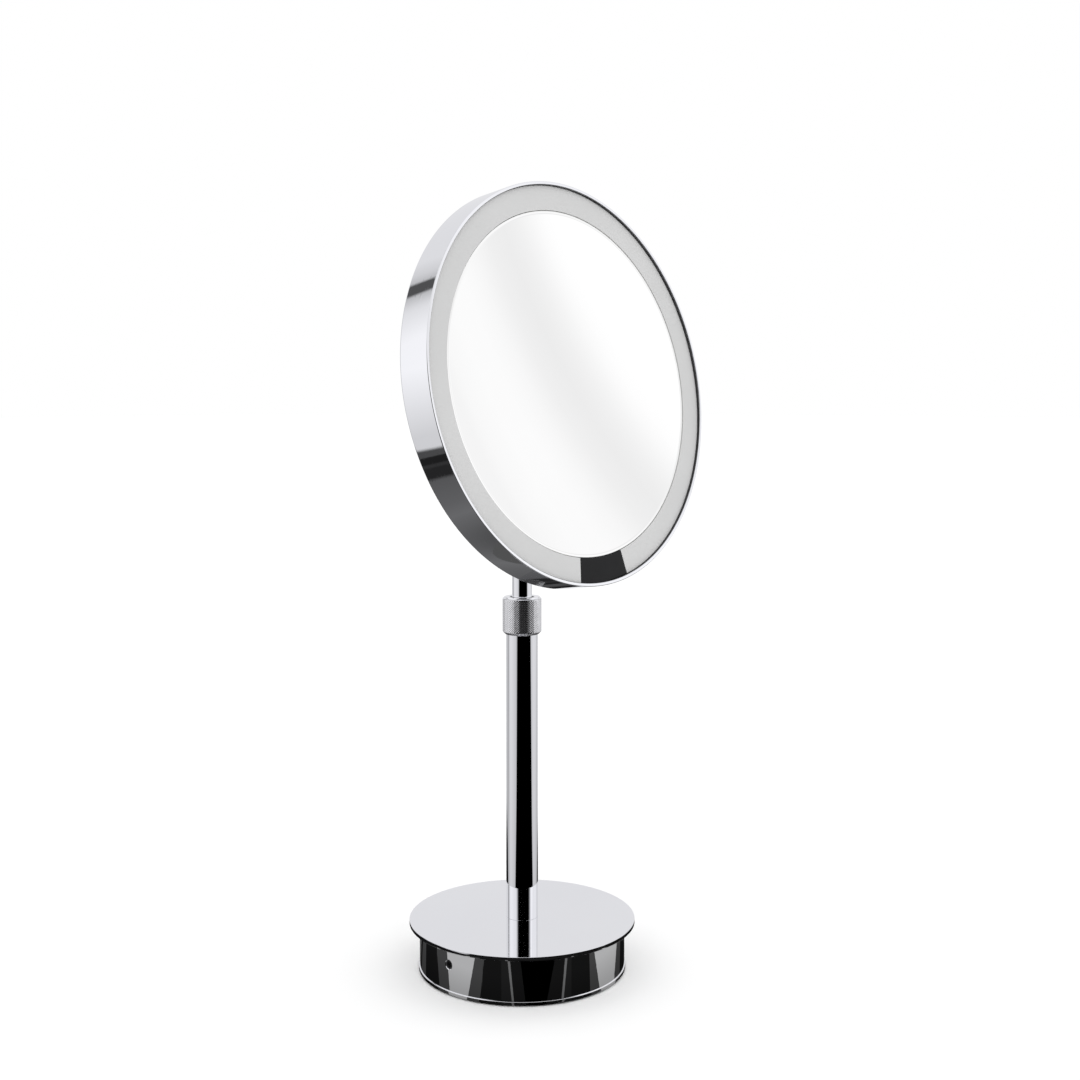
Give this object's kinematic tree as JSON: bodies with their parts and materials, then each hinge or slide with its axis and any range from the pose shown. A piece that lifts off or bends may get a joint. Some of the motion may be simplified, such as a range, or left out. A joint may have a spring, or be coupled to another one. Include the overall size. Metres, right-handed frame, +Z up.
{
  "type": "lighted vanity mirror",
  "caption": "Round lighted magnifying mirror on a telescopic post with a knurled clamp collar, tilt hinge and weighted rechargeable base.",
  "frame": {"origin": "centre of the base's underside, on the post's axis, on the table", "axes": "+Z up along the post; the face looks towards -Y and is tilted up 9 degrees; +X is to the right of someone who looks along +Y, so it is the mirror user's right"},
  "size_m": [0.215, 0.1242, 0.4285],
  "materials": {
    "chrome": "polished",
    "knurled_steel": "satin diamond knurl",
    "steel": "zinc plated",
    "brass": "turned",
    "cast_weight": "sand cast, black dipped",
    "mirror": "silvered glass, concave",
    "frosted_acrylic": "frosted, lets light through",
    "black_glass": "gloss",
    "white_plastic": "moulded",
    "black_plastic": "moulded",
    "nylon": "turned",
    "pad_rubber": "matt",
    "foam": "closed cell foam",
    "lead_cover": "silicone",
    "cell_wrap": "shrink wrap",
    "circuit_board": "solder mask",
    "light_board": "white solder mask",
    "diode": "phosphor"
  },
  "bodies": {
    "base": {"foot_pad": "pad_rubber", "bottom_cover": "chrome", "base_drum": "chrome", "base_plate": "chrome", "ballast": "cast_weight", "base_screws": "steel", "battery_cells": "cell_wrap", "cell_cradles": "black_plastic", "cell_tabs": "steel", "charge_board": "circuit_board", "charge_parts": "black_plastic", "board_screws": "steel", "charging_socket": "black_plastic", "post_stud": "brass", "post_washer": "steel", "post_nut": "brass", "post_tube": "chrome", "collet": "brass", "base_lead": "lead_cover", "coiled_lead": "lead_cover"},
    "collar": {"clamp_collar": "knurled_steel"},
    "guide": {"slide_guide": "nylon"},
    "rod": {"rod_tube": "chrome", "rod_end_plug": "brass", "retaining_ring": "steel", "rod_lead": "lead_cover", "hinge_eye": "chrome"},
    "head": {"hinge_fork": "chrome", "hinge_pin": "chrome", "pin_nut": "chrome", "friction_washers": "black_plastic", "flange_screws": "steel", "head_housing": "chrome", "carrier": "white_plastic", "light_board": "light_board", "light_diodes": "diode", "light_ring": "frosted_acrylic", "mirror_glass": "mirror", "mirror_pad": "foam", "sensor_window": "black_glass", "sensor_board": "circuit_board", "sensor_eyes": "black_plastic", "driver_board": "circuit_board", "driver_parts": "black_plastic", "head_lead": "lead_cover"}
  },
  "joints": [
    {"name": "collar_turn", "type": "hinge", "parent": "base", "child": "collar", "pos_m": [0, 0, 0.195], "axis": [0, 0, 1], "range_deg": [0, 180]},
    {"name": "height_slide", "type": "slide", "parent": "base", "child": "guide", "axis": [0, 0, 1], "range_m": [-0.06, 0.025], "deforming": ["coiled_lead"]},
    {"name": "rod_swivel", "type": "hinge", "parent": "guide", "child": "rod", "pos_m": [0, 0, 0.13], "axis": [0, 0, 1], "range_deg": [-165, 165]},
    {"name": "head_tilt", "type": "hinge", "parent": "rod", "child": "head", "pos_m": [0, 0, 0.316], "axis": [-1, 0, 0], "range_deg": [-13, 51]}
  ]
}
